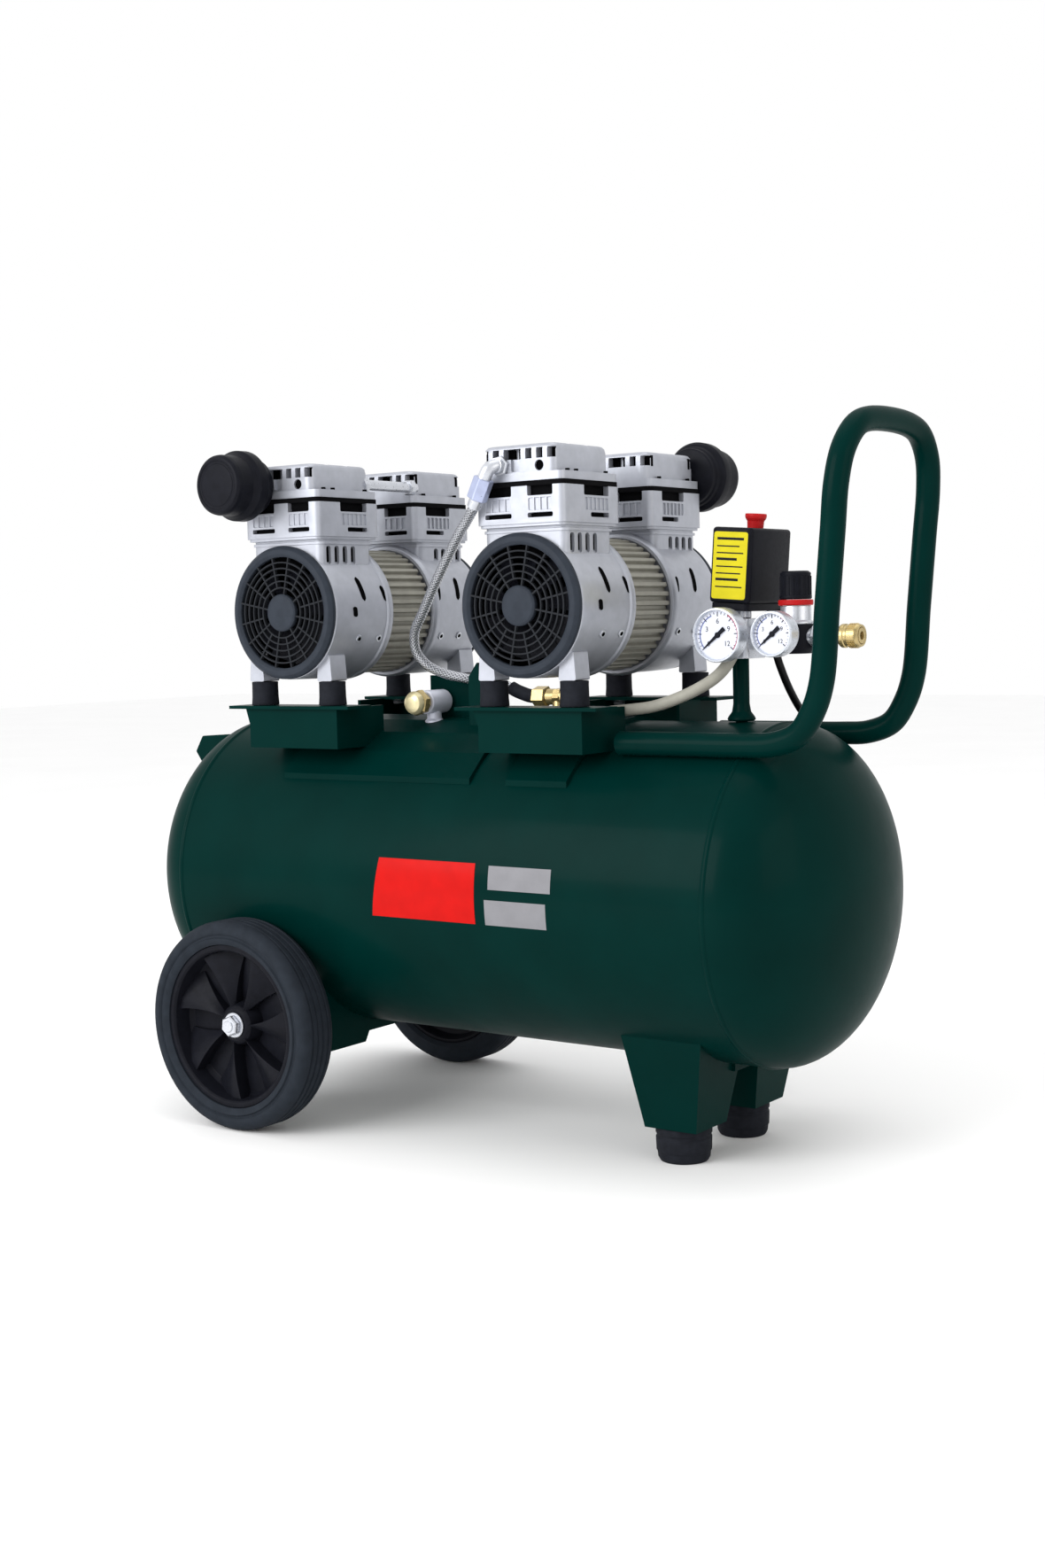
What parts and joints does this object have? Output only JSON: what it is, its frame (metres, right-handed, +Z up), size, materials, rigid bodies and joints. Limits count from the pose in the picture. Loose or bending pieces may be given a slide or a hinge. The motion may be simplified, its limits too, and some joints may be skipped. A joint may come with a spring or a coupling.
{
  "type": "portable air compressor",
  "caption": "Horizontal-tank portable air compressor with paired oil-free piston pump units, wheels, rubber feet, a tube carry handle, pressure switch, regulator, gauges and a mains lead.",
  "frame": {"origin": "on the floor under the middle of the machine, midway in length and width", "axes": "+X along the tank towards the handle and the controls, +Y towards the rear long side, +Z up"},
  "size_m": [0.7788, 0.4439, 0.6428],
  "materials": {
    "paint": "deep teal-green gloss paint",
    "casting": "bead-blasted die casting",
    "stator": "dull beige-grey ribbed housing",
    "plastic": "fine-grained black plastic",
    "rubber": "moulded black rubber",
    "tyre": "grooved solid tyre rubber",
    "brass": "turned brass",
    "steel": "nickel-plated, satin",
    "braid": "woven stainless braid",
    "relief_hose": "cream sleeve, matt",
    "lead": "smooth black flex",
    "gauge_case": "plated case with a white dial",
    "knob_red": "red moulded knob"
  },
  "bodies": {
    "frame": {"tank_shell": "paint", "platform_left": "paint", "platform_right": "paint", "leg_bracket": "paint", "rubber_foot_front": "rubber", "rubber_foot_rear": "rubber", "axle_bracket": "paint", "wheel_bolt_front": "steel", "wheel_bolt_rear": "steel", "carry_handle": "paint", "left_mount_front_left": "rubber", "left_mount_front_right": "rubber", "left_mount_rear_left": "rubber", "left_mount_rear_right": "rubber", "left_crankcase_front": "casting", "left_crankcase_rear": "casting", "left_cylinder_front": "casting", "left_cylinder_rear": "casting", "left_head_front": "casting", "left_head_rear": "casting", "left_fan_guard_front": "plastic", "left_fan_guard_rear": "plastic", "left_stator_housing": "stator", "left_intake_filter": "plastic", "right_mount_front_left": "rubber", "right_mount_front_right": "rubber", "right_mount_rear_left": "rubber", "right_mount_rear_right": "rubber", "right_crankcase_front": "casting", "right_crankcase_rear": "casting", "right_cylinder_front": "casting", "right_cylinder_rear": "casting", "right_head_front": "casting", "right_head_rear": "casting", "right_fan_guard_front": "plastic", "right_fan_guard_rear": "plastic", "right_stator_housing": "stator", "right_intake_filter": "plastic", "manifold": "steel", "pressure_switch": "plastic", "tank_gauge": "gauge_case", "outlet_gauge": "gauge_case", "quick_coupler": "brass", "check_valve": "brass", "braided_hose": "braid", "relief_tube": "relief_hose", "mains_lead": "lead", "lead_coil": "lead", "mains_plug": "plastic"},
    "wheel_front": {"tyre_front": "tyre", "wheel_rim_front": "plastic"},
    "wheel_rear": {"tyre_rear": "tyre", "wheel_rim_rear": "plastic"},
    "left_rotor_body": {"left_rotor": "steel"},
    "right_rotor_body": {"right_rotor": "steel"},
    "regulator_knob_body": {"regulator_knob": "plastic"},
    "switch_knob_body": {"switch_knob": "knob_red"},
    "tank_needle_body": {"tank_needle": "plastic"},
    "outlet_needle_body": {"outlet_needle": "plastic"},
    "coupler_sleeve_body": {"coupler_sleeve": "brass"}
  },
  "joints": [
    {"name": "wheel_front_spin", "type": "hinge", "parent": "frame", "child": "wheel_front", "pos_m": [-0.217, -0.167, 0.1], "axis": [0, 1, 0], "continuous": true},
    {"name": "wheel_rear_spin", "type": "hinge", "parent": "frame", "child": "wheel_rear", "pos_m": [-0.217, 0.167, 0.1], "axis": [0, 1, 0], "continuous": true},
    {"name": "left_rotor_spin", "type": "hinge", "parent": "frame", "child": "left_rotor_body", "pos_m": [-0.1794, -0.014, 0.4877], "axis": [0, 1, 0], "continuous": true},
    {"name": "right_rotor_spin", "type": "hinge", "parent": "frame", "child": "right_rotor_body", "pos_m": [0.0946, -0.014, 0.4877], "axis": [0, 1, 0], "continuous": true},
    {"name": "regulator_knob_turn", "type": "hinge", "parent": "frame", "child": "regulator_knob_body", "pos_m": [0.291, 0, 0.4985], "axis": [0, 0, 1], "range_deg": [-540, 540]},
    {"name": "switch_knob_pull", "type": "slide", "parent": "frame", "child": "switch_knob_body", "axis": [0.0779, 0, 0.997], "range_m": [0, 0.006]},
    {"name": "tank_needle_turn", "type": "hinge", "parent": "frame", "child": "tank_needle_body", "pos_m": [0.2385, -0.043, 0.4585], "axis": [0, 1, 0], "range_deg": [0, 260], "stiffness_Nm_per_rad": 0.001},
    {"name": "outlet_needle_turn", "type": "hinge", "parent": "frame", "child": "outlet_needle_body", "pos_m": [0.291, -0.043, 0.4585], "axis": [0, 1, 0], "range_deg": [0, 260], "stiffness_Nm_per_rad": 0.001},
    {"name": "coupler_sleeve_slide", "type": "slide", "parent": "frame", "child": "coupler_sleeve_body", "axis": [-1, 0, 0], "range_m": [0, 0.004], "stiffness_N_per_m": 600, "springref_m": -0.002}
  ]
}
